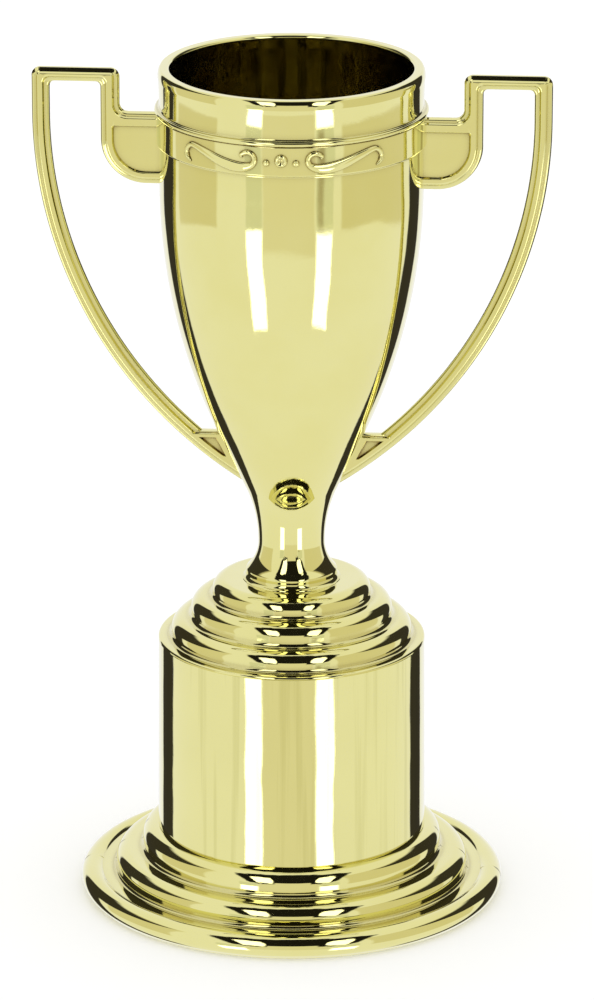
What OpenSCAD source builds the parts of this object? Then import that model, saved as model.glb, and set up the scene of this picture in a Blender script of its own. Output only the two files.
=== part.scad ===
// Two-handled cup trophy on a stepped round pedestal.
// Moulded, vacuum-metallised plastic pieces stacked on one central tie rod.
// Millimetres, +Z up, origin on the resting plane under the centre of the foot.
// The front, with the relief on the band, faces -Y and the handles lie along X.

/* [Foot] */
// Radius of the outer bead of the foot
foot_r = 56.8; // [56:0.1:58]
// Height of the foot, from the table to the shoulder under the drum
foot_h = 18.2; // [17.8:0.1:19]
// Wall thickness of the foot shell
foot_wall = 2.2; // [1.8:0.1:2.4]
// Number of stiffening ribs under the foot
foot_ribs = 6; // [3:1:12]

/* [Drum] */
// Outer radius of the drum at its lower end
drum_r = 36; // [35.8:0.1:36.4]
// Height of the drum
drum_h = 53.1; // [40:0.1:70]
// Draft of the drum, as the loss of radius at its upper end
drum_draft = 0.3; // [0:0.1:0.5]
// Wall thickness of the drum
drum_wall = 2.2; // [1.8:0.1:2.6]

/* [Dome] */
// Height of the stepped dome above the drum
dome_h = 16.7; // [16.2:0.1:17.4]
// Wall thickness of the dome at its roof
dome_wall = 2.4; // [1.6:0.1:3]

/* [Cup] */
// Height of the cup moulding, from the dome to the rim
cup_h = 141; // [139:0.5:143]
// Outer radius of the straight part of the bowl
cup_r = 34.8; // [34.4:0.1:35.2]
// Wall thickness of the bowl
cup_wall = 2.4; // [1.8:0.1:2.8]
// Radius of the arc that draws the bowl in towards the stem
bowl_rad = 161; // [159:0.5:163]
// Radius of the stem at its waist
waist_r = 8.9; // [8.5:0.1:9.3]
// Radius of the flange at the bottom of the stem
stem_foot_r = 12.5; // [11.5:0.1:14]

/* [Band] */
// Outer radius of the raised band
band_r = 36; // [35.6:0.1:36.3]
// Height of the band
band_h = 9.4; // [9:0.1:9.8]
// Height of the relief on the band
relief_h = 0.4; // [0.2:0.05:0.6]

/* [Handles] */
// Greatest reach of a handle from the axis
handle_reach = 68.4; // [67:0.1:70]
// Width of the handle bar, seen from the front
bar_w = 4.8; // [4.2:0.1:5.2]
// Depth of the handle bar, front to back
bar_d = 4.4; // [4:0.1:5]
// Thickness of the sunk panels of the handle
panel_d = 2.8; // [2:0.1:3.2]

/* [Hardware] */
// Radius of the tie rod
rod_r = 1.5; // [1.3:0.05:1.6]
// Width across the flats of the nuts
nut_af = 5.5; // [5:0.1:6]
// Thickness of the nuts
nut_h = 2.4; // [1.8:0.1:2.8]
// Outer radius of the washers
washer_r = 4.5; // [3.5:0.1:5]
// Thickness of the washers
washer_h = 0.8; // [0.5:0.1:1.2]

/* [Hidden] */
$fn = 120;

gold = "khaki";
steel = "lightsteelblue";

// Levels of the stack
drum_top = foot_h + drum_h;
seat = drum_top + dome_h;
rim = seat + cup_h;

// Clearance of a spigot in its socket
slip = 0.1;
// Length of the tie rod beyond each nut
rod_end = 1.4;
// Radius of the holes that the tie rod passes through
rod_hole_r = rod_r + 0.2;

// Foot: the beads, as widest radius, and the levels of the treads between them
foot_bead_1 = 40.2;
foot_bead_2 = 47.4;
foot_tread_1 = 11.3;
foot_tread_2 = 5.4;
foot_tube_r = 3.2;
foot_web = 14;
foot_hub_low = 8.8;
foot_hub_r = 7;
spigot_h = 4.6;
spigot_wall = 2.2;
foot_cavity_wall = 2.4;
foot_rest_w = 2.2;
foot_rest_in = 1.8;
rib_t = 1.6;
rib_low = 4.6;

// Dome: the beads and the drops of the treads below the roof
dome_bead_1 = 21.2;
dome_bead_2 = 26.9;
dome_bead_3 = 32.2;
dome_tread_1 = seat - 4.9;
dome_tread_2 = seat - 10.8;
dome_hub_r = 6.2;
dome_hub_rise = 4;
dome_cavity_wall = 2.8;
dome_edge_r = 0.7;
dome_tread_3 = drum_top + dome_edge_r;

// Cup: stem and bowl
waist_z = seat + 10.3;
flare_rad = 10.5;
flare_a = acos((flare_rad + waist_r - stem_foot_r) / flare_rad);
bowl_a = 25;
bowl_z = rim - 31.5;
bowl_c = [cup_r - bowl_rad, bowl_z];
cone_top = bowl_c + bowl_rad * [cos(bowl_a), -sin(bowl_a)];
// Radius of the concave arc that is tangent to both the waist and the cone
neck_rad = (tan(bowl_a) * (cone_top[1] - waist_z) - (cone_top[0] - waist_r))
           / (sin(bowl_a) * tan(bowl_a) + cos(bowl_a) - 1);
bowl_floor = seat + 28;
stem_bore_r = 6.4;
stem_bore_top = seat + 22;
band_low = rim - 20;
lip_r = cup_r + 0.4;
lip_in = cup_r - 2.9;

// Handles: arc of the outer edge of the bar, and the levels of its parts
bar_c = [-51, rim - 13.5];
bar_out = handle_reach - bar_c[0];
bar_in = bar_out - bar_w;
bar_top = rim - 1.3;
top_bar_h = 3.8;
outer_corner = 2.4;
inner_corner = 1.3;
riser_out = 50.3;
riser_in = 45.2;
shelf_z = rim - 13;
shelf_fillet = 2.2;
plate_low = rim - 32.5;
plate_round = 12;
gusset_top = rim - 100.3;
gusset_low = rim - 117;
ridge_in = 1.7;
top_ridge_share = 0.55;
edge_d = 3.4;
border_w = 3.1;
gusset_border = 1.2;
pad_t = 1.2;

// Points of an arc about c, from angle a0 to angle a1
function arc(c, r, a0, a1, n = 10) =
    [for (i = [0:n]) c + r * [cos(a0 + (a1 - a0) * i / n), sin(a0 + (a1 - a0) * i / n)]];

// One bead of a turned base: a crown over the widest radius r, then a cove onto the next tread
function bead(r, top, crown, tread, cove) =
    concat(arc([r - crown, top - crown], crown, 90, 0),
           arc([r + cove, tread + cove], cove, 180, 270));

foot_outline = concat(
    bead(foot_bead_1, foot_h, 3.6, foot_tread_1, 1.6),
    bead(foot_bead_2, foot_tread_1, 3, foot_tread_2, 1.4),
    arc([foot_r - foot_tube_r, foot_tube_r], foot_tube_r, 136, -60, 24));

dome_outline = concat(
    bead(dome_bead_1, seat, 3, dome_tread_1, 1.7),
    bead(dome_bead_2, dome_tread_1, 3.2, dome_tread_2, 2),
    bead(dome_bead_3, dome_tread_2, 3.2, dome_tread_3, 1.6),
    arc([drum_r - drum_draft - dome_edge_r, drum_top], dome_edge_r, 90, 0, 4));

stem_outline = concat(
    arc([stem_foot_r - 0.6, seat + 0.6], 0.6, -90, 0, 4),
    arc([waist_r + flare_rad, waist_z], flare_rad, 180 + flare_a, 180, 14),
    arc([waist_r + neck_rad, waist_z], neck_rad, 180, 180 - bowl_a, 12));

cup_outline = concat(
    [[0, seat]],
    stem_outline,
    arc(bowl_c, bowl_rad, -bowl_a, 0, 24),
    [[cup_r, band_low], [band_r - 0.5, band_low], [band_r, band_low + 0.4],
     [band_r, band_low + band_h - 1.2], [cup_r + 0.2, band_low + band_h], [cup_r, band_low + band_h],
     [cup_r, rim - 1.8], [lip_r, rim - 1.5]],
    arc([lip_r - 0.9, rim - 0.9], 0.9, 0, 90, 6),
    arc([lip_in + 0.8, rim - 0.8], 0.8, 90, 180, 6));

// Radius of the cone between the neck and the bowl, at height z
function cone_r(z) = cone_top[0] - (cone_top[1] - z) * tan(bowl_a);

// Relief scroll on the band: distance along the band, height above the middle, half width
scroll = [[26.8, -2.7, 0.25], [28.3, -0.6, 0.4], [26, 1.5, 0.5], [21.4, 0.3, 0.7], [15.6, -1.6, 1.1],
          [11, -2.3, 1.1], [7.7, -1.7, 0.6], [7, 0.4, 0.5], [9, 1.8, 0.5], [10.3, 0.9, 0.35]];
scroll_steps = 5;
function pick(p, i) = p[max(0, min(len(p) - 1, i))];
// Point of the smooth curve through p, where t counts its points
function smooth(p, t) =
    let (i = floor(t), u = t - i,
         a = pick(p, i - 1), b = pick(p, i), c = pick(p, i + 1), d = pick(p, i + 2),
         bend = 2 * a - 5 * b + 4 * c - d, twist = 3 * b - a - 3 * c + d)
    (2 * b + u * (c - a) + u * u * bend + u * u * u * twist) / 2;
// Edge of the stroke on one side, as distances along the band and heights
function stroke_edge(p, side) = [for (k = [0:(len(p) - 1) * scroll_steps])
    let (t = k / scroll_steps, q = smooth(p, t), f = smooth(p, t + 0.05), g = smooth(p, t - 0.05),
         d = [f[0] - g[0], f[1] - g[1]])
    [q[0], q[1]] + side * q[2] * [-d[1], d[0]] / norm(d)];
function reversed(p) = [for (i = [len(p) - 1:-1:0]) p[i]];
// The band is round, so a distance along it is seen from the front as a chord
function front(p) = [for (q = p) [band_r * sin(q[0] / band_r * 180 / PI), q[1]]];

module scroll_2d() {
    polygon(front(concat(stroke_edge(scroll, 1), reversed(stroke_edge(scroll, -1)))));
}

// Drawn outline of the relief, centred on the band
module relief_2d() {
    scroll_2d();
    mirror([1, 0]) scroll_2d();
    circle(r = 1.5, $fn = 40);
    for (s = [-1, 1]) translate([3.4 * s, -0.4]) circle(r = 0.7, $fn = 24);
}

module relief() {
    intersection() {
        translate([0, 0, band_low + band_h / 2 - 0.3])
            rotate([90, 0, 0]) linear_extrude(height = band_r + 5) relief_2d();
        difference() {
            translate([0, 0, band_low + 0.5]) cylinder(r = band_r + relief_h, h = band_h - 1.8);
            translate([0, 0, band_low]) cylinder(r = band_r - 0.1, h = band_h);
        }
    }
}

// Outside of the cup moulding as a solid
module cup_envelope() {
    rotate_extrude() polygon(concat(cup_outline, [[0, rim - 0.8]]));
}

module bowl_hollow() {
    inner = bowl_rad - cup_wall;
    low = bowl_c + inner * [cos(bowl_a), -sin(bowl_a)];
    rotate_extrude() polygon(concat(
        [[0, rim + 1], [lip_in, rim + 1], [lip_in, rim - 1.6], [cup_r - cup_wall, rim - 4]],
        arc(bowl_c, inner, 0, -bowl_a, 24),
        [[low[0] - (low[1] - bowl_floor) * tan(bowl_a), bowl_floor], [0, bowl_floor]]));
}

// Locating tongue and peg on the inner edge of a handle, which fit blind sockets in the cup
module handle_keys() {
    translate([cup_r - 1.4, -0.8, rim - 30]) cube([2.2, 1.6, 8]);
    translate([cone_r(rim - 107), 0, rim - 107]) rotate([0, 90 + bowl_a, 0])
        translate([0, 0, -1.5]) cylinder(r = 1, h = 2.4, $fn = 32);
}

module cup() {
    color(gold) difference() {
        union() {
            cup_envelope();
            relief();
        }
        bowl_hollow();
        translate([0, 0, seat - 1]) cylinder(r = stem_bore_r, h = stem_bore_top - seat + 1);
        translate([0, 0, seat]) cylinder(r = rod_hole_r, h = bowl_floor - seat + 1);
        handle_keys();
        mirror([1, 0, 0]) handle_keys();
    }
}

module box_2d(x0, z0, x1, z1) {
    translate([x0, z0]) square([x1 - x0, z1 - z0]);
}

// Rectangle with its two upper corners rounded
module arch_2d(x0, z0, x1, z1, r) {
    box_2d(x0, z0, x1, z1 - r);
    box_2d(x0 + r, z0, x1 - r, z1);
    translate([x0 + r, z1 - r]) circle(r);
    translate([x1 - r, z1 - r]) circle(r);
}

// Bar of the handle, drawn in from both of its edges by inset, but by less from its upper edge
module bar_2d(inset) {
    difference() {
        arch_2d(riser_in + inset, bar_c[1], handle_reach - inset,
                bar_top - top_ridge_share * inset, outer_corner - inset);
        arch_2d(riser_out - inset, bar_c[1] - 1, handle_reach - bar_w + inset,
                bar_top - top_bar_h + inset, inner_corner);
    }
    box_2d(riser_in + inset, shelf_z - border_w, riser_out - inset, bar_c[1] + 1);
    intersection() {
        translate(bar_c) difference() {
            circle(bar_out - inset, $fn = 360);
            circle(bar_in + inset, $fn = 360);
        }
        box_2d(0, gusset_low, handle_reach, bar_c[1]);
    }
}

// Upper web plate, drawn in by inset
module plate_2d(inset) {
    box_2d(lip_in, plate_low + inset, riser_out - plate_round, shelf_z - inset);
    box_2d(lip_in, plate_low + plate_round, riser_out - inset, shelf_z - inset);
    translate([riser_out - plate_round, plate_low + plate_round]) circle(plate_round - inset);
}

// Fillet between the shelf of the plate and the riser
module shelf_fillet_2d() {
    difference() {
        box_2d(riser_in - shelf_fillet, shelf_z - 1, riser_in + 1, shelf_z + shelf_fillet);
        translate([riser_in - shelf_fillet, shelf_z + shelf_fillet]) circle(shelf_fillet);
    }
}

// Lower gusset, drawn in by inset
module gusset_2d(inset) {
    intersection() {
        translate(bar_c) circle(bar_out - inset, $fn = 360);
        box_2d(5, gusset_low, 30, gusset_top - inset);
    }
}

// Thin pad of the handle that lies along the wall of the cup
module pad_2d() {
    top = gusset_top + 0.8;
    low = gusset_low + 2;
    off = pad_t * [cos(bowl_a), -sin(bowl_a)];
    polygon([[cone_r(low) - 1, low], [cone_r(low), low] + off,
             [cone_r(top), top] + off, [cone_r(top) - 1, top]]);
}

module slab(depth) {
    rotate([90, 0, 0]) linear_extrude(height = depth, center = true) children();
}

module handle() {
    difference() {
        union() {
            slab(panel_d) {
                plate_2d(0);
                gusset_2d(0);
            }
            slab(edge_d) {
                bar_2d(0);
                shelf_fillet_2d();
                difference() {
                    plate_2d(0);
                    plate_2d(border_w);
                }
                difference() {
                    gusset_2d(0);
                    gusset_2d(gusset_border);
                }
                pad_2d();
            }
            slab(bar_d) bar_2d(ridge_in);
            slab(bar_d) difference() {
                plate_2d(ridge_in);
                plate_2d(border_w);
            }
        }
        cup_envelope();
    }
    handle_keys();
}

module handle_right() {
    color(gold) handle();
}

module handle_left() {
    color(gold) mirror([1, 0, 0]) handle();
}

// Collar that locates in the end of the drum, from z0 to z1
module spigot(r, z0, z1) {
    translate([0, 0, z0]) difference() {
        cylinder(r = r, h = z1 - z0);
        translate([0, 0, -1]) cylinder(r = r - spigot_wall, h = z1 - z0 + 2);
    }
}

module dome_cap() {
    top_r = drum_r - drum_draft;
    color(gold) difference() {
        union() {
            difference() {
                rotate_extrude() polygon(concat([[0, seat]], dome_outline, [[0, drum_top]]));
                cylinder(r = dome_bead_3 - dome_cavity_wall, h = dome_tread_2 - dome_wall);
                cylinder(r = dome_bead_2 - dome_cavity_wall, h = dome_tread_1 - dome_wall);
                cylinder(r = dome_bead_1 - dome_cavity_wall, h = seat - dome_wall);
            }
            spigot(top_r - drum_wall - slip, drum_top - spigot_h, drum_top);
            translate([0, 0, drum_top + 2]) cylinder(r = dome_hub_r, h = dome_h - 2 + dome_hub_rise);
        }
        translate([0, 0, drum_top]) cylinder(r = rod_hole_r, h = dome_h + dome_hub_rise + 1);
    }
}

module drum() {
    color(gold) translate([0, 0, foot_h]) difference() {
        cylinder(r1 = drum_r, r2 = drum_r - drum_draft, h = drum_h);
        cylinder(r1 = drum_r - drum_wall, r2 = drum_r - drum_wall - drum_draft, h = drum_h);
    }
}

module foot_rib() {
    translate([foot_hub_r - 1, -rib_t / 2, rib_low])
        cube([foot_bead_1 - foot_hub_r - 1, rib_t, foot_web - rib_low - 0.4]);
}

// Cavity under the foot, open downwards
module foot_cavity(r, top) {
    translate([0, 0, -1]) cylinder(r = r, h = top + 1);
}

module foot() {
    color(gold) difference() {
        union() {
            difference() {
                rotate_extrude() polygon(concat([[0, foot_h]], foot_outline,
                                                [[foot_r - foot_rest_in, 0], [0, 0]]));
                foot_cavity(foot_r - foot_rest_in - foot_rest_w, foot_tread_2 - foot_wall);
                foot_cavity(foot_bead_2 - foot_cavity_wall, foot_tread_1 - foot_wall);
                foot_cavity(foot_bead_1 - foot_cavity_wall, foot_web - foot_wall);
                translate([0, 0, foot_web])
                    cylinder(r = drum_r - drum_wall - slip - spigot_wall, h = foot_h);
            }
            spigot(drum_r - drum_wall - slip, foot_web, foot_h + spigot_h);
            translate([0, 0, foot_hub_low]) cylinder(r = foot_hub_r, h = foot_web - foot_hub_low);
            for (i = [0:foot_ribs - 1]) rotate([0, 0, i * 360 / foot_ribs]) foot_rib();
        }
        cylinder(r = rod_hole_r, h = foot_web + 1);
    }
}

module nut(z) {
    translate([0, 0, z]) difference() {
        cylinder(r = nut_af / sqrt(3), h = nut_h, $fn = 6);
        cylinder(r = rod_r, h = nut_h);
    }
}

module washer(z) {
    translate([0, 0, z]) difference() {
        cylinder(r = washer_r, h = washer_h);
        cylinder(r = rod_hole_r, h = washer_h);
    }
}

module tie_rod() {
    low = foot_hub_low - washer_h - nut_h - rod_end;
    high = bowl_floor + washer_h + nut_h + rod_end;
    color(steel) translate([0, 0, low]) cylinder(r = rod_r, h = high - low);
}

module bowl_nut() {
    color(steel) nut(bowl_floor + washer_h);
}

module bowl_washer() {
    color(steel) washer(bowl_floor);
}

module foot_nut() {
    color(steel) nut(foot_hub_low - washer_h - nut_h);
}

module foot_washer() {
    color(steel) washer(foot_hub_low - washer_h);
}

cup();
handle_left();
handle_right();
dome_cap();
drum();
foot();
tie_rod();
bowl_nut();
bowl_washer();
foot_nut();
foot_washer();
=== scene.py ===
"""Looks of the gold two-handled cup trophy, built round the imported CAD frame.

The row frame: metres, +Z up, the front of the cup faces -Y and the handles lie along X.
Profiles are written in millimetres, as (radius, height) for turned pieces and (x, z) for
the handles.
"""

import math

import bmesh
import bpy
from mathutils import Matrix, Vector


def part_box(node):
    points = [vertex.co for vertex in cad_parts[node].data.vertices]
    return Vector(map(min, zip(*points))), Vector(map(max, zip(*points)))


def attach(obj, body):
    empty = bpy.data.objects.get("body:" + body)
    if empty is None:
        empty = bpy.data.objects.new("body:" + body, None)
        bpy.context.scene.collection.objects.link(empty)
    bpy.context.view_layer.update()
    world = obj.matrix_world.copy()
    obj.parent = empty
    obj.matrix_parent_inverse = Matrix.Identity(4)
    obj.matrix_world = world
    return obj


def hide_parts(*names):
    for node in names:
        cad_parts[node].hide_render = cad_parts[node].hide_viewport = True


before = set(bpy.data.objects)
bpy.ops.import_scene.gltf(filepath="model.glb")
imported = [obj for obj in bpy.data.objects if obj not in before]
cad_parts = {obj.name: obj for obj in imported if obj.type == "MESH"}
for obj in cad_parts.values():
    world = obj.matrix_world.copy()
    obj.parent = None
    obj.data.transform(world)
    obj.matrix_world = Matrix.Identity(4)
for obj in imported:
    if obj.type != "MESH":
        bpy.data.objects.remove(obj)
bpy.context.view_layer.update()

MM = 0.001
STEPS = 288          # facets round a turned piece
SHARP = 38           # degrees at which an edge stays crisp

# Levels of the stack and its main radii
FOOT_H, DRUM_TOP, SEAT, RIM = 18.2, 71.3, 88.0, 229.0
FOOT_TREADS, DOME_TREADS = (11.3, 5.4), (83.1, 77.2, 72.0)
DRUM_R, DRUM_DRAFT, DRUM_WALL = 36.0, 0.3, 2.2
CUP_R, CUP_WALL, BOWL_RAD, BOWL_Z = 34.8, 2.4, 161.0, RIM - 31.5
BAND_R, BAND_LOW, BAND_HIGH = 35.6, RIM - 20, RIM - 10.6
RELIEF_MID, RELIEF_LIFT, RELIEF_RADIUS = (BAND_LOW + BAND_HIGH) / 2 - 0.3, 0.79, 36.0
WAIST_R, WAIST_Z, FLARE_RAD, STEM_R = 8.9, SEAT + 10.3, 10.5, 12.0
BOWL_FLOOR, ROD_R, ROD_HOLE = SEAT + 28, 1.5, 1.7
LEAN = math.radians(25)       # slope of the cone under the bowl
HUB_R, BORE_R = 6.2, 6.4      # the dome's hub and the bore under the stem
WASHER_R, NUT_FLAT = 4.5, 2.75
SEAM_FROM = 39                # the foot's mould line is on its beads, outside this radius

# The handles: centre and radii of the bar's arc, and the levels of its parts
BAR_C, BAR_OUT, BAR_IN, REACH = (-51.0, RIM - 13.5), 119.4, 114.6, 68.4
BAR_TOP, BAR_UNDER = RIM - 1.3, RIM - 5.1
RISER_IN, RISER_OUT = 45.2, 50.3
SHELF_Z, PLATE_LOW, PLATE_ROUND = RIM - 13, RIM - 32.5, 12.0
GUSSET_TOP = RIM - 100.3


# ---------------------------------------------------------------- shapes

def arc(cx, cz, rx, a0, a1, n=12, rz=None):
    """Points of an arc, from angle a0 to angle a1 in degrees."""
    rz = rx if rz is None else rz
    turns = [math.radians(a0 + (a1 - a0) * i / n) for i in range(n + 1)]
    return [(cx + rx * math.cos(t), cz + rz * math.sin(t)) for t in turns]


def bead(r, top, crown, tread, cove):
    """A crown over the widest radius r, then a cove onto the next tread."""
    return (arc(r - crown, top - crown, crown, 90, 0, 16)
            + arc(r + cove, tread + cove, cove, 180, 270, 10))


def to_object(name, bm, materials):
    """Closes the bmesh into an object with outward normals and clean shading."""
    bmesh.ops.remove_doubles(bm, verts=bm.verts, dist=1e-7)
    bmesh.ops.recalc_face_normals(bm, faces=bm.faces)
    mesh = bpy.data.meshes.new(name)
    bm.to_mesh(mesh)
    bm.free()
    mesh.shade_smooth()
    mesh.set_sharp_from_angle(angle=math.radians(SHARP))
    for material in materials:
        mesh.materials.append(material)
    ob = bpy.data.objects.new(name, mesh)
    bpy.context.scene.collection.objects.link(ob)
    normals = ob.modifiers.new("face weighted normals", "WEIGHTED_NORMAL")
    normals.keep_sharp = True
    return ob


def bridge(bm, rings, closed=False, material=0):
    """Quads between neighbouring rings of vertices."""
    pairs = list(zip(rings, rings[1:]))
    if closed:
        pairs.append((rings[-1], rings[0]))
    for a, b in pairs:
        for i in range(len(a)):
            j = (i + 1) % len(a)
            face = bm.faces.new((a[i], a[j], b[j], b[i]))
            face.material_index = material


def turn(bm, loop, seam=0.0, inside=None):
    """Turns a closed (radius, height) loop about Z.

    seam is the depth of a mould line at +X and -X. inside(r, z) says which parts of the
    profile take the second material."""
    turns = [2 * math.pi * i / STEPS for i in range(STEPS)]
    if seam:
        fine = [math.radians(d) for d in (-0.4, -0.2, -0.1, 0.1, 0.2, 0.4)]
        turns += fine[3:] + [math.pi + f for f in fine] + [2 * math.pi + f for f in fine[:3]]
        turns.sort()
    rings = []
    for r, z in loop:
        ring = []
        for t in turns:
            off = min(t, abs(t - math.pi), 2 * math.pi - t)
            dip = seam * max(0.0, 1 - math.degrees(off) / 0.2) if r > SEAM_FROM else 0.0
            point = Vector(((r - dip) * math.cos(t), (r - dip) * math.sin(t), z))
            ring.append(bm.verts.new(point * MM))
        rings.append(ring)
    for k in range(len(loop)):
        m = (k + 1) % len(loop)
        mid = ((loop[k][0] + loop[m][0]) / 2, (loop[k][1] + loop[m][1]) / 2)
        bridge(bm, [rings[k], rings[m]], material=1 if inside and inside(*mid) else 0)


# ---------------------------------------------------------------- pedestal

def make_foot(gold):
    """The plinth: a spigot for the drum, three beads, and a hollow ribbed underside."""
    loop = [(ROD_HOLE, 14), (31.5, 14), (31.5, 22.6), (31.7, 22.8), (33.5, 22.8), (33.7, 22.6),
            (33.7, FOOT_H)]
    loop += bead(40.2, FOOT_H, 4.0, FOOT_TREADS[0], 1.2)
    loop += bead(47.4, FOOT_TREADS[0], 3.6, FOOT_TREADS[1], 1.0)
    loop += arc(53.6, 3.2, 3.2, 136, -60, 40)
    loop += [(54.8, 0), (53.0, 0), (52.8, 0.2), (52.8, 3.2), (45.2, 3.2), (45, 3.4), (45, 9.1)]
    loop += [(38, 9.1), (37.8, 9.3), (37.8, 11.6), (37.6, 11.8), (7.2, 11.8), (7, 11.6), (7, 9.0)]
    loop += [(6.8, 8.8), (ROD_HOLE, 8.8)]
    bm = bmesh.new()
    turn(bm, loop, seam=0.12)
    for k in range(6):
        add_rib(bm, math.radians(60 * k))
    return to_object("foot_visual", bm, [gold])


def add_rib(bm, angle):
    """One stiffening rib under the foot: a plate with a rounded lower edge."""
    across = [(-0.8, 12.6), (-0.8, 5.0), (-0.6, 4.7), (-0.2, 4.6), (0.2, 4.6), (0.6, 4.7),
              (0.8, 5.0), (0.8, 12.6)]
    ends = []
    for x in (6.6, 38.6):
        ring = []
        for y, z in across:
            point = Vector((x * math.cos(angle) - y * math.sin(angle),
                            x * math.sin(angle) + y * math.cos(angle), z))
            ring.append(bm.verts.new(point * MM))
        ends.append(ring)
    bridge(bm, ends)
    for ring in ends:
        bm.faces.new(ring)


def make_drum(gold):
    """The round column, with its draft and softened ends."""
    low, high, tall = DRUM_R, DRUM_R - DRUM_DRAFT, DRUM_TOP - FOOT_H
    loop = [(low - 0.15, FOOT_H), (low, FOOT_H + 0.15)]
    loop += [(low - DRUM_DRAFT * k / 8, FOOT_H + tall * k / 8) for k in range(1, 8)]
    loop += [(high, DRUM_TOP - 0.15), (high - 0.15, DRUM_TOP), (high - DRUM_WALL, DRUM_TOP),
             (low - DRUM_WALL, FOOT_H)]
    bm = bmesh.new()
    turn(bm, loop)
    return to_object("drum_visual", bm, [gold])


def make_dome(gold):
    """The stepped dome, with its hub above and its stepped hollow and spigot below."""
    top, middle, low = DOME_TREADS
    loop = [(ROD_HOLE, 92), (5.9, 92), (HUB_R, 91.7), (HUB_R, SEAT)]
    loop += bead(21.2, SEAT, 3.4, top, 1.2)
    loop += bead(26.9, top, 3.6, middle, 1.4)
    loop += bead(32.2, middle, 3.6, low, 1.1)
    loop += arc(35.0, DRUM_TOP, 0.7, 90, 0, 6)
    loop += [(33.4, DRUM_TOP), (33.4, 66.7), (31.2, 66.7), (31.2, DRUM_TOP), (29.4, DRUM_TOP),
             (29.4, 74.8), (24.1, 74.8), (24.1, 80.7), (18.4, 80.7), (18.4, 85.6),
             (HUB_R, 85.6), (HUB_R, 73.3), (ROD_HOLE, 73.3)]
    bm = bmesh.new()
    turn(bm, loop)
    return to_object("dome_visual", bm, [gold])


# ---------------------------------------------------------------- cup

CONE_R = CUP_R - BOWL_RAD + BOWL_RAD * math.cos(LEAN)
CONE_Z = BOWL_Z - BOWL_RAD * math.sin(LEAN)
NECK_RAD = ((math.tan(LEAN) * (CONE_Z - WAIST_Z) - (CONE_R - WAIST_R))
            / (math.sin(LEAN) * math.tan(LEAN) + math.cos(LEAN) - 1))


def cone_r(z):
    """Radius of the cone between the neck and the bowl."""
    return CONE_R - (CONE_Z - z) * math.tan(LEAN)


def cup_outside():
    """Profile from the foot of the stem up to the lip."""
    # A small fillet on the dome, the rounded foot of the stem, its waist and the bowl
    loop = [(STEM_R + 1.2, SEAT)] + arc(STEM_R + 1.6, SEAT + 1.6, 1.5, 252, 180, 12)
    loop += arc(STEM_R - 0.87, SEAT + 2.3, 1.0, 0, 44, 10)
    loop += arc(WAIST_R + FLARE_RAD, WAIST_Z, FLARE_RAD, 224, 180, 24)[1:]
    loop += arc(WAIST_R + NECK_RAD, WAIST_Z, NECK_RAD, 180, 155, 20)[1:]
    loop += arc(CUP_R - BOWL_RAD, BOWL_Z, BOWL_RAD, -25, 0, 56)
    # Raised band: a soft lower edge, the face, a fine groove and the bead along its top
    loop += [(CUP_R, BAND_LOW - 0.5), (CUP_R + 0.1, BAND_LOW - 0.15), (CUP_R + 0.35, BAND_LOW)]
    loop += arc(BAND_R - 0.45, BAND_LOW + 0.45, 0.45, -90, 0, 6)
    loop += [(BAND_R, BAND_HIGH - 1.75), (BAND_R - 0.08, BAND_HIGH - 1.5),
             (BAND_R - 0.22, BAND_HIGH - 1.38)]
    loop += arc(BAND_R - 0.3, BAND_HIGH - 0.72, 0.7, -62, 90, 14)
    loop += [(CUP_R + 0.3, BAND_HIGH + 0.05), (CUP_R + 0.08, BAND_HIGH + 0.22),
             (CUP_R, BAND_HIGH + 0.5)]
    # The wall flares a little up to the rounded lip
    loop += arc(CUP_R + 110, RIM - 10, 110, 180, 176.4, 8)
    loop += arc(CUP_R - 0.62, RIM - 2.2, 0.92, -12, 90, 16, rz=2.2)
    return loop


def cup_inside():
    """Profile from the lip down the inside of the bowl to the rod's hole in its floor."""
    loop = arc(CUP_R - 2.1, RIM - 0.8, 0.8, 90, 180, 8)
    loop += [(CUP_R - 2.9, RIM - 1.8), (CUP_R - CUP_WALL - 0.1, RIM - 4)]
    loop += arc(CUP_R - BOWL_RAD, BOWL_Z, BOWL_RAD - CUP_WALL, 0, -25, 56)
    floor_r = cone_r(BOWL_FLOOR) - CUP_WALL / math.cos(LEAN)
    loop += arc(floor_r - 1.2, BOWL_FLOOR + 1.6, 1.6, -25, -90, 8)
    return loop + [(ROD_HOLE + 0.2, BOWL_FLOOR), (ROD_HOLE, BOWL_FLOOR - 0.2)]


def smooth_path(points, per=10):
    """A smooth curve through points of any dimension."""
    found = []
    for k in range((len(points) - 1) * per + 1):
        i = min(k // per, len(points) - 2)
        u = k / per - i
        a, b, c, d = (points[max(0, min(len(points) - 1, i + n))] for n in (-1, 0, 1, 2))
        found.append([(2 * q + u * (r - p) + u * u * (2 * p - 5 * q + 4 * r - s)
                       + u ** 3 * (3 * q - p - 3 * r + s)) / 2 for p, q, r, s in zip(a, b, c, d)])
    return found


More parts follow.
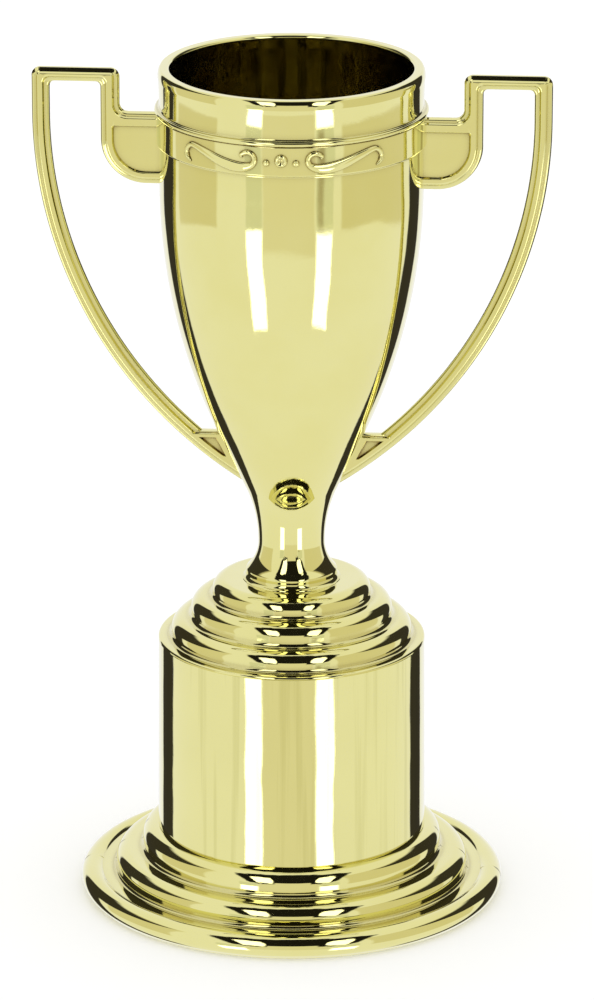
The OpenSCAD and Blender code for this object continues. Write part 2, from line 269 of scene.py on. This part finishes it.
def add_scroll(bm, side):
    """One tapering scroll of the relief, as a half-round stroke on the band's face.

    Its points are (distance along the band, height from the middle, half width)."""
    points = [(26.6, -3.0, 0.25), (27.9, -1.9, 0.6), (28.2, -0.5, 0.7), (27.3, 0.9, 0.7),
              (25.6, 1.5, 0.75), (21.4, 0.3, 1.05), (15.6, -1.6, 1.4), (11, -2.2, 1.3),
              (8.1, -1.6, 0.9), (7, -0.1, 0.7), (7.6, 1.4, 0.65), (9.1, 1.9, 0.65),
              (10.6, 1.2, 0.6), (10.5, 0.4, 0.3)]
    path = smooth_path(points)
    rings = []
    for k, (s, h, w) in enumerate(path):
        before, after = path[max(k - 1, 0)], path[min(k + 1, len(path) - 1)]
        ds, dh = after[0] - before[0], after[1] - before[1]
        size = math.hypot(ds, dh)
        ns, nh = -dh / size, ds / size
        ring = []
        for n in range(13):
            t = math.pi * n / 12
            lift = RELIEF_LIFT * math.sin(t) ** 0.8 * min(1.0, w / 0.6)
            out = w * math.cos(t)
            ring.append((s + ns * out, h + nh * out, BAND_R + lift - 0.02))
        # The stroke's underside lies within the band's wall
        ring.append((s - ns * w * 0.5, h - nh * w * 0.5, BAND_R - 0.3))
        ring.append((s + ns * w * 0.5, h + nh * w * 0.5, BAND_R - 0.3))
        rings.append([bm.verts.new(on_band(side * p, RELIEF_MID + q, r)) for p, q, r in ring])
    bridge(bm, rings)
    bm.faces.new(rings[0])
    bm.faces.new(rings[-1])


def on_band(s, z, r):
    """A point at distance s along the band from the front centre."""
    t = s / RELIEF_RADIUS
    return Vector((r * math.sin(t), -r * math.cos(t), z)) * MM


def add_stud(bm, s, h, size, dished):
    """A round stud of the relief, with a dished centre if wanted."""
    profile = [(1, -0.3), (1, 0), (0.96, 0.3), (0.84, 0.56), (0.68, 0.66)]
    if dished:
        profile += [(0.5, 0.56), (0.38, 0.32), (0.2, 0.2), (0.02, 0.18)]
    else:
        profile += [(0.35, 0.74), (0.02, 0.78)]
    rings = []
    for share, lift in profile:
        ring = []
        for n in range(28):
            t = 2 * math.pi * n / 28
            along, up = s + size * share * math.cos(t), h + size * share * math.sin(t)
            ring.append(bm.verts.new(on_band(along, RELIEF_MID + up, BAND_R + lift)))
        rings.append(ring)
    bridge(bm, rings)
    bm.faces.new(rings[0])
    bm.faces.new(rings[-1])


def make_cup(gold, inside_gold):
    """Bowl, band, relief and stem, with the bore that takes the dome's hub."""
    loop = [(BORE_R, SEAT + 0.3), (BORE_R + 0.3, SEAT)] + cup_outside() + cup_inside()
    loop += [(ROD_HOLE, SEAT + 22), (BORE_R, SEAT + 22)]
    bm = bmesh.new()

    def inside(r, z):
        """Whether a part of the profile is on the inner face of the bowl."""
        if z > BOWL_Z:
            limit = CUP_R - 2.0
        elif z > CONE_Z:
            limit = CUP_R - BOWL_RAD + math.sqrt((BOWL_RAD - 1.2) ** 2 - (z - BOWL_Z) ** 2)
        else:
            limit = cone_r(z) - 1.2
        return BOWL_FLOOR - 0.1 < z < RIM - 1 and r < limit

    turn(bm, loop, inside=inside)
    for side in (-1, 1):
        add_scroll(bm, side)
    add_stud(bm, 0, 0, 1.7, True)
    for side in (-1, 1):
        add_stud(bm, 3.9 * side, -0.6, 0.85, False)
    return to_object("cup_visual", bm, [gold, inside_gold])


# ---------------------------------------------------------------- handles

# Section of the bar from its parting line to the crown of its ridge:
# inset from a side edge, distance from the middle plane, inset from the top edge
SECTION = [(0.0, 0.0, 0.0), (0.04, 0.06, 0.04), (0.05, 0.55, 0.05), (0.36, 1.24, 0.72),
           (0.5, 1.36, 0.84), (0.75, 1.41, 0.92), (1.3, 1.42, 1.0), (1.42, 1.48, 1.06),
           (1.7, 2.02, 1.32), (1.82, 2.14, 1.42), (2.0, 2.19, 1.52), (2.35, 2.2, 1.68)]
# Edges of the sunk panels: inset, and distance from the middle plane
PLATE_STEPS = [(0, 2.2), (0.1, 2.16), (0.24, 1.98), (0.4, 1.6), (0.52, 1.42)]
GUSSET_STEPS = [(0, 2.2), (0.1, 2.12), (0.3, 1.6), (0.42, 1.42)]
PANEL_EDGE = 3.1              # width of the raised border round a sunk panel


def meet_cone(radius):
    """Height at which an arc of the bar passes a millimetre below the face of the cone."""
    low, high = 113.0, 122.0
    for _ in range(40):
        z = (low + high) / 2
        x = BAR_C[0] + math.sqrt(radius ** 2 - (BAR_C[1] - z) ** 2)
        low, high = (z, high) if x < cone_r(z) - 1.0 else (low, z)
    return low


def handle_outline(a, t):
    """Closed outline of the handle, drawn in by a, or by t at its top edge."""
    out, shelf, gusset = BAR_OUT - a, SHELF_Z - 0.8 * a, GUSSET_TOP - 0.35 * a
    start = math.degrees(math.asin((meet_cone(out) - BAR_C[1]) / out))
    points = arc(*BAR_C, out, start, 0, 90)
    rc = max(2.4 - a, 0.3)
    points += arc(REACH - a - rc, BAR_TOP - t - rc, rc, 0, 90, 8)
    points += arc(RISER_IN + a + rc, BAR_TOP - t - rc, rc, 90, 180, 8)
    points += arc(RISER_IN - 2.2, SHELF_Z + 2.2, 2.2 + a, 0, -90, 10, rz=2.2 + 0.8 * a)
    points += [(CUP_R - 1.2, shelf), (CUP_R - 1.2, PLATE_LOW + a)]
    points += arc(RISER_OUT - PLATE_ROUND, PLATE_LOW + PLATE_ROUND, PLATE_ROUND - a, -90, 0, 28)
    rw = 1.3 + 0.3 * a
    points += arc(RISER_OUT - a + rw, BAR_UNDER + a - rw, rw, 180, 90, 8)
    points += arc(REACH - 4.8 + a - rw, BAR_UNDER + a - rw, rw, 90, 0, 8)
    end = math.degrees(math.asin((gusset - BAR_C[1]) / (BAR_IN + a)))
    points += arc(*BAR_C, BAR_IN + a, 0, end, 90)
    return points + [(cone_r(gusset) - 1.2, gusset)]


def plate_recess(d):
    """Outline of the sunk panel of the web plate, drawn in by d."""
    low, high, right = PLATE_LOW + PANEL_EDGE + d, SHELF_Z - 3.3 - d, RISER_OUT - PANEL_EDGE - d
    points = [(CUP_R - 0.9, high), (CUP_R - 0.9, low)]
    points += arc(RISER_OUT - PLATE_ROUND, PLATE_LOW + PLATE_ROUND,
                  PLATE_ROUND - PANEL_EDGE - d, -90, 0, 24)
    return points + arc(right - 0.6, high - 0.6, 0.6, 0, 90, 5)


def gusset_recess(d):
    """Outline of the sunk panel of the lower gusset, drawn in by d."""
    top, radius, low = GUSSET_TOP - 1.5 - 0.6 * d, BAR_OUT - PANEL_EDGE - d, 121.9 + d
    span = [top - (top - low) * n / 10 for n in range(11)]
    right = [(BAR_C[0] + math.sqrt(radius ** 2 - (BAR_C[1] - z) ** 2), z) for z in span]
    return right + [(cone_r(span[-1]) + 1.1 + 0.3 * d, span[-1]), (cone_r(top) + 1.3 + d, top)]


def make_handle(name, side, gold):
    """A handle as two mirrored faces that meet at the parting line."""
    bm = bmesh.new()

    def ring(points, y):
        return [bm.verts.new(Vector((side * x, y, z)) * MM) for x, z in points]

    def loop_edges(verts):
        return [bm.edges.get(p) or bm.edges.new(p) for p in zip(verts, verts[1:] + verts[:1])]

    middle = ring(handle_outline(0, 0), 0)
    for face in (-1, 1):
        rings = [middle] + [ring(handle_outline(a, t), face * y) for a, y, t in SECTION[1:]]
        bridge(bm, rings)
        edges = loop_edges(rings[-1])
        for outline, steps in ((plate_recess, PLATE_STEPS), (gusset_recess, GUSSET_STEPS)):
            sunk = [ring(outline(d), face * y) for d, y in steps]
            bridge(bm, sunk)
            bm.faces.new(sunk[-1])
            edges += loop_edges(sunk[0])
        bmesh.ops.triangle_fill(bm, use_beauty=True, use_dissolve=False, edges=edges,
                                normal=(0, face, 0))
    return to_object(name, bm, [gold])


# ---------------------------------------------------------------- hardware

def make_nut(name, node, steel):
    """Hexagon nut with chamfered corners and a countersunk bore, on the place of its CAD node."""
    low, high = (p.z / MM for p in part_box(node))
    bm = bmesh.new()
    round_r = {"bore": ROD_R, "sink": ROD_R + 0.3, "flat": NUT_FLAT - 0.1}

    def hexagon(t):
        return NUT_FLAT / math.cos((t + math.pi / 6) % (math.pi / 3) - math.pi / 6)

    rings = []
    for share, z in [("bore", low + 0.3), ("sink", low), ("flat", low), ("rim", low),
                     ("rim", high), ("flat", high), ("sink", high), ("bore", high - 0.3)]:
        ring = []
        for t in (math.radians(5 * i) for i in range(72)):
            r = round_r.get(share) or hexagon(t + math.pi / 6)
            drop = max(0.0, r - NUT_FLAT + 0.1) * 0.5 if share == "rim" else 0.0
            place = z + drop if z == low else z - drop
            ring.append(bm.verts.new(Vector((r * math.cos(t), r * math.sin(t), place)) * MM))
        rings.append(ring)
    bridge(bm, rings, closed=True)
    return to_object(name, bm, [steel])


def make_washer(name, node, steel):
    """Plain washer with a rounded upper edge, on the place of its CAD node."""
    low, high = (p.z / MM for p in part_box(node))
    bm = bmesh.new()
    turn(bm, [(ROD_HOLE, low), (WASHER_R - 0.15, low), (WASHER_R, low + 0.15),
              (WASHER_R, high - 0.2), (WASHER_R - 0.05, high - 0.08), (WASHER_R - 0.2, high),
              (ROD_HOLE + 0.08, high), (ROD_HOLE, high - 0.08)])
    return to_object(name, bm, [steel])


def make_rod(steel):
    """Tie rod with a fine thread at both ends."""
    low, high = (p.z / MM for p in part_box("tie_rod"))
    loop = [(0.02, low), (1.2, low), (ROD_R, low + 0.25)]
    pitch, count, root = 0.5, 23, 1.25
    for z in (low + 0.3 + pitch * k for k in range(count)):
        loop += [(ROD_R, z), (ROD_R, z + 0.06), (root, z + 0.25), (root, z + 0.3)]
    for z in (high - 0.8 - pitch * (count - 1 - k) for k in range(count)):
        loop += [(root, z), (root, z + 0.05), (ROD_R, z + 0.24), (ROD_R, z + 0.3)]
    loop += [(ROD_R, high - 0.25), (1.2, high), (0.02, high)]
    bm = bmesh.new()
    turns = [math.pi * i / 24 for i in range(48)]
    rings = []
    for r, z in loop:
        ring = [Vector((r * math.cos(t), r * math.sin(t), z)) * MM for t in turns]
        rings.append([bm.verts.new(point) for point in ring])
    bridge(bm, rings)
    bm.faces.new(rings[0])
    bm.faces.new(rings[-1])
    return to_object("tie_rod_visual", bm, [steel])


# ---------------------------------------------------------------- materials

class Nodes:
    """A short way to write node trees."""

    def __init__(self, tree):
        self.tree = tree
        tree.nodes.clear()

    def add(self, kind, inputs=None, **settings):
        node = self.tree.nodes.new(kind)
        for key, value in settings.items():
            setattr(node, key, value)
        for key, value in (inputs or {}).items():
            self.put(node.inputs[key], value)
        return node

    def put(self, socket, value):
        if isinstance(value, bpy.types.NodeSocket):
            self.tree.links.new(value, socket)
        else:
            socket.default_value = value

    def math(self, operation, a, b=0.0):
        return self.add("ShaderNodeMath", {0: a, 1: b}, operation=operation).outputs[0]

    def ramp(self, value, low, high, to_low=0.0, to_high=1.0):
        node = self.add("ShaderNodeMapRange", {"Value": value, "From Min": low, "From Max": high,
                                               "To Min": to_low, "To Max": to_high},
                        interpolation_type="SMOOTHSTEP")
        return node.outputs["Result"]

    def noise(self, vector, scale, detail=2.0):
        node = self.add("ShaderNodeTexNoise", {"Vector": vector, "Scale": scale, "Detail": detail})
        return node.outputs["Fac"]

    def stretched(self, vector, scale):
        return self.add("ShaderNodeMapping", {"Vector": vector, "Scale": scale}).outputs["Vector"]

    def blend(self, factor, a, b):
        node = self.add("ShaderNodeMix", {0: factor, 6: a, 7: b}, data_type="RGBA")
        return node.outputs[2]


def make_gold(name, base, worn, wave=1.0, streak=1.0, rough=(0.02, 0.06), lines=0.0):
    """Vacuum-metallised plastic: a mirror coat under a clear lacquer, with the soft waves and
    fine vertical drag lines of the moulding under it.

    wave and streak scale the bumps, and lines is how strong the vertical streaks in colour are."""
    material = bpy.data.materials.new(name)
    material.use_nodes = True
    n = Nodes(material.node_tree)
    where = n.add("ShaderNodeTexCoord").outputs["Object"]
    waves = n.noise(where, 55.0, 1.0)
    peel = n.noise(where, 420.0, 2.0)
    drag = n.noise(n.stretched(where, (1.0, 1.0, 0.03)), 900.0, 2.0)
    wear = n.ramp(n.noise(where, 38.0, 3.0), 0.35, 0.7)
    if lines:
        drawn = n.noise(n.stretched(where, (1.0, 1.0, 0.02)), 420.0, 3.0)
        fine = n.ramp(drawn, 0.5, 0.68, 0.0, lines)
        wear = n.math("MAXIMUM", n.math("MULTIPLY", wear, 0.2), fine)
    tint = n.blend(wear, base, worn)
    # Painted shade: the colour turns towards the dark crease colour where ambient occlusion finds
    # the surface hemmed in by itself
    open_share = n.add("ShaderNodeAmbientOcclusion", {"Distance": 0.0022}, samples=8,
                       only_local=True).outputs["AO"]
    tint = n.blend(n.ramp(open_share, 0.5, 0.97, 1.0, 0.0), tint, PAINTED_CREASE_SHADE)
    haze = n.ramp(n.noise(where, 160.0, 4.0), 0.35, 0.75, rough[0], rough[1])
    bump = n.add("ShaderNodeBump", {"Height": waves, "Strength": 1.0,
                                    "Distance": 0.00022 * wave}).outputs[0]
    bump = n.add("ShaderNodeBump", {"Height": peel, "Strength": 1.0, "Distance": 0.000006 * wave,
                                    "Normal": bump}).outputs[0]
    bump = n.add("ShaderNodeBump", {"Height": drag, "Strength": 1.0, "Distance": 0.000003 * streak,
                                    "Normal": bump}).outputs[0]
    shader = n.add("ShaderNodeBsdfPrincipled", {"Base Color": tint, "Metallic": 1.0,
                                                "Roughness": haze, "Normal": bump,
                                                "Coat Weight": 1.0, "Coat IOR": 1.5,
                                                "Coat Roughness": 0.02})
    out = n.add("ShaderNodeOutputMaterial")
    n.put(out.inputs["Surface"], shader.outputs[0])
    return material


def make_zinc():
    """Bright zinc plating on turned steel."""
    material = bpy.data.materials.new("zinc_steel")
    material.use_nodes = True
    n = Nodes(material.node_tree)
    where = n.add("ShaderNodeTexCoord").outputs["Object"]
    blotch = n.ramp(n.noise(where, 500.0, 4.0), 0.3, 0.7)
    tint = n.blend(blotch, (0.62, 0.64, 0.67, 1), (0.72, 0.71, 0.66, 1))
    rough = n.ramp(n.noise(where, 900.0, 3.0), 0.3, 0.7, 0.22, 0.4)
    grain = n.noise(n.stretched(where, (1.0, 1.0, 12.0)), 1500.0, 2.0)
    bump = n.add("ShaderNodeBump", {"Height": grain, "Strength": 0.6,
                                    "Distance": 0.00001}).outputs[0]
    shader = n.add("ShaderNodeBsdfPrincipled", {"Base Color": tint, "Metallic": 1.0,
                                                "Roughness": rough, "Normal": bump})
    out = n.add("ShaderNodeOutputMaterial")
    n.put(out.inputs["Surface"], shader.outputs[0])
    return material


# ---------------------------------------------------------------- studio

VIEW_TURN = math.radians(4.4)


def make_studio():
    """A plain studio as the mirror finish sees it: white walls, a pale front panel and darker
    side panels, two low white strips in front, a dark opening overhead with two lamps in it,
    and two dark gaps behind. Angles are in degrees from the front and from the horizon."""
    world = bpy.data.worlds.new("studio")
    bpy.context.scene.world = world
    world.use_nodes = True
    n = Nodes(world.node_tree)
    way = n.add("ShaderNodeTexCoord").outputs["Generated"]
    way = n.add("ShaderNodeVectorRotate", {"Vector": way, "Axis": (0, 0, 1), "Angle": -VIEW_TURN},
                rotation_type="AXIS_ANGLE").outputs[0]
    axes = n.add("ShaderNodeSeparateXYZ", {"Vector": way}).outputs
    x, y, z = axes[0], axes[1], axes[2]
    front = n.math("MULTIPLY", y, -1.0)
    turn_deg = n.math("MULTIPLY", n.math("ARCTAN2", x, front), 180 / math.pi)
    rise_deg = n.math("MULTIPLY", n.math("ARCSINE", z), 180 / math.pi)
    over_deg = n.math("MULTIPLY", n.math("ARCTAN2", z, front), 180 / math.pi)

    def between(value, low, high, soft):
        """1 from low to high and 0 outside, with soft edges."""
        up = n.ramp(value, low - soft, low + soft)
        down = n.ramp(value, high - soft, high + soft, 1.0, 0.0)
        return n.math("MULTIPLY", up, down)

    def both(a, b):
        return n.math("MULTIPLY", a, b)

    def patch(x0, x1, over0, over1, soft):
        """A rounded patch with uneven ends, 1 inside and 0 outside."""
        mid_x, mid_over = (x0 + x1) / 2, (over0 + over1) / 2
        across = n.math("DIVIDE", n.math("SUBTRACT", x, mid_x), (x1 - x0) / 2)
        along = n.math("DIVIDE", n.math("SUBTRACT", ragged, mid_over), (over1 - over0) / 2)
        far = n.math("ADD", n.math("POWER", n.math("ABSOLUTE", across), 4.0),
                     n.math("POWER", n.math("ABSOLUTE", along), 4.0))
        return n.ramp(far, 1 - soft, 1 + soft, 1.0, 0.0)

    side_deg = n.math("ABSOLUTE", turn_deg)
    uneven = n.math("SUBTRACT", n.noise(way, 9.0, 3.0), 0.5)
    ragged = n.math("ADD", over_deg, n.math("MULTIPLY", uneven, 26.0))
    light = (0.95, 0.95, 0.95, 1)
    # The pale panel in front and the darker ones at the sides
    centre = both(between(turn_deg, -25, 20, 1.2), between(rise_deg, -23.3, 30, 1.0))
    light = n.blend(centre, light, (0.85, 0.82, 0.72, 1))
    left = both(between(turn_deg, -116, -68, 1.5), between(rise_deg, -18.4, 40, 0.5))
    right = both(between(turn_deg, 44, 114, 1.5), between(rise_deg, -18.4, 40, 0.5))
    sides = n.math("MAXIMUM", left, right)
    light = n.blend(sides, light, (0.78, 0.74, 0.58, 1))
    # The white strips low in front, and their dim upper ends
    strips = n.math("MAXIMUM", between(turn_deg, -40, -26, 1.0), between(turn_deg, 21.5, 36.5, 1.0))
    light = n.blend(both(strips, between(rise_deg, -18.5, 5, 0.5)), light, (0.78, 0.8, 0.74, 1))
    shade = both(between(turn_deg, 23, 28, 2.0), between(rise_deg, -18.0, -13, 1.5))
    light = n.blend(shade, light, (0.5, 0.46, 0.36, 1))
    light = n.blend(both(strips, between(rise_deg, -38.5, -18.5, 0.5)), light, (3.2, 3.2, 3.2, 1))
    # The dark gaps at the back corners widen upwards
    wide = n.math("ADD", side_deg, n.math("MULTIPLY", n.math("MAXIMUM", rise_deg, 0.0), 1.4))
    gaps = both(n.ramp(wide, 123.8, 126.2), n.ramp(side_deg, 147.0, 149.5, 1.0, 0.0))
    light = n.blend(both(gaps, between(rise_deg, -60, 37, 3)), light, (0.04, 0.036, 0.03, 1))
    # The opening overhead, the panel's edge across its lower part, and the two lamps in it
    light = n.blend(patch(-0.56, 0.58, 1, 80, 0.12), light, (0.012, 0.011, 0.01, 1))
    hood = both(between(turn_deg, -13, 14, 1.2), between(rise_deg, -10, 13, 1.0))
    light = n.blend(hood, light, (0.85, 0.82, 0.72, 1))
    lamps = n.math("MAXIMUM", patch(-0.45, -0.23, 9, 54, 0.4), patch(0.29, 0.49, 9, 54, 0.4))
    light = n.blend(lamps, light, (2.4, 2.4, 2.4, 1))
    studio = n.add("ShaderNodeBackground", {"Color": light, "Strength": 1.0}).outputs[0]
    plain = n.add("ShaderNodeBackground", {"Color": (1, 1, 1, 1), "Strength": 1.0}).outputs[0]
    mirror = n.add("ShaderNodeLightPath").outputs["Is Glossy Ray"]
    mixed = n.add("ShaderNodeMixShader", {0: mirror, 1: plain, 2: studio}).outputs[0]
    out = n.add("ShaderNodeOutputWorld")
    n.put(out.inputs["Surface"], mixed)


def make_floor():
    """Plain pale floor. It is clear from below, and the mirror finish sees the studio past it."""
    material = bpy.data.materials.new("floor_pale")
    material.use_nodes = True
    n = Nodes(material.node_tree)
    where = n.add("ShaderNodeTexCoord").outputs["Object"]
    tone = n.blend(n.noise(where, 3.0, 2.0), (0.9, 0.9, 0.9, 1), (0.92, 0.92, 0.92, 1))
    paper = n.add("ShaderNodeBsdfPrincipled", {"Base Color": tone, "Roughness": 0.9,
                                               "Emission Color": (1, 1, 1, 1),
                                               "Emission Strength": 0.18})
    clear = n.add("ShaderNodeBsdfTransparent").outputs[0]
    under = n.add("ShaderNodeNewGeometry").outputs["Backfacing"]
    mixed = n.add("ShaderNodeMixShader", {0: under, 1: paper.outputs[0], 2: clear}).outputs[0]
    out = n.add("ShaderNodeOutputMaterial")
    n.put(out.inputs["Surface"], mixed)
    mesh = bpy.data.meshes.new("floor")
    size = 6.0
    corners = [(-size, -size, 0), (size, -size, 0), (size, size, 0), (-size, size, 0)]
    mesh.from_pydata(corners, [], [(0, 1, 2, 3)])
    mesh.materials.append(material)
    floor = bpy.data.objects.new("floor", mesh)
    floor.location.z = -0.00005
    floor.visible_glossy = False
    bpy.context.scene.collection.objects.link(floor)
    return floor


def make_camera():
    """The photograph's viewpoint: slightly right of the front, looking down a little."""
    data = bpy.data.cameras.new("camera")
    data.sensor_width, data.lens = 36.0, 252.4
    data.shift_x = 0.0054
    data.clip_start, data.clip_end = 0.1, 50
    camera = bpy.data.objects.new("camera", data)
    away, height, down = 1.7716, 0.7077, 18.66
    camera.location = (away * math.sin(VIEW_TURN), -away * math.cos(VIEW_TURN), height)
    camera.rotation_euler = (math.radians(90 - down), 0, VIEW_TURN)
    bpy.context.scene.collection.objects.link(camera)
    bpy.context.scene.camera = camera


# ---------------------------------------------------------------- assembly

def place(ob, node, slot):
    """Hands a piece to the frame in the place of a CAD node."""
    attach(ob, "root")
    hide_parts(node)


GOLD = (0.815, 0.772, 0.322, 1)
GOLD_WORN = (0.795, 0.745, 0.285, 1)
# Painted shade colour that the gold's creases darken towards, through ambient occlusion
PAINTED_CREASE_SHADE = (0.2, 0.125, 0.012, 1)
gold = make_gold("gold_turned", GOLD, GOLD_WORN)
gold_bar = make_gold("gold_handles", GOLD, GOLD_WORN, wave=0.35, streak=0.5)
gold_drum = make_gold("gold_drum", GOLD, (0.72, 0.68, 0.26, 1), lines=1.0)
gold_inside = make_gold("gold_bowl_inside", (0.5, 0.46, 0.23, 1), (0.8, 0.76, 0.5, 1),
                        wave=0.6, streak=3.0, rough=(0.05, 0.12), lines=0.8)
zinc = make_zinc()

place(make_foot(gold), "foot", "gold_plastic")
place(make_drum(gold_drum), "drum", "gold_plastic")
place(make_dome(gold), "dome_cap", "gold_plastic")
place(make_cup(gold, gold_inside), "cup", "gold_plastic")
place(make_handle("handle_right_visual", 1, gold_bar), "handle_right", "gold_plastic")
place(make_handle("handle_left_visual", -1, gold_bar), "handle_left", "gold_plastic")
place(make_rod(zinc), "tie_rod", "zinc_steel")
for end in ("bowl", "foot"):
    place(make_nut(end + "_nut_visual", end + "_nut", zinc), end + "_nut", "zinc_steel")
    place(make_washer(end + "_washer_visual", end + "_washer", zinc), end + "_washer", "zinc_steel")

make_studio()
make_floor()
make_camera()
scene = bpy.context.scene
scene.view_settings.view_transform = "Standard"
scene.cycles.max_bounces = 16
scene.cycles.glossy_bounces = 14

bpy.context.view_layer.update()
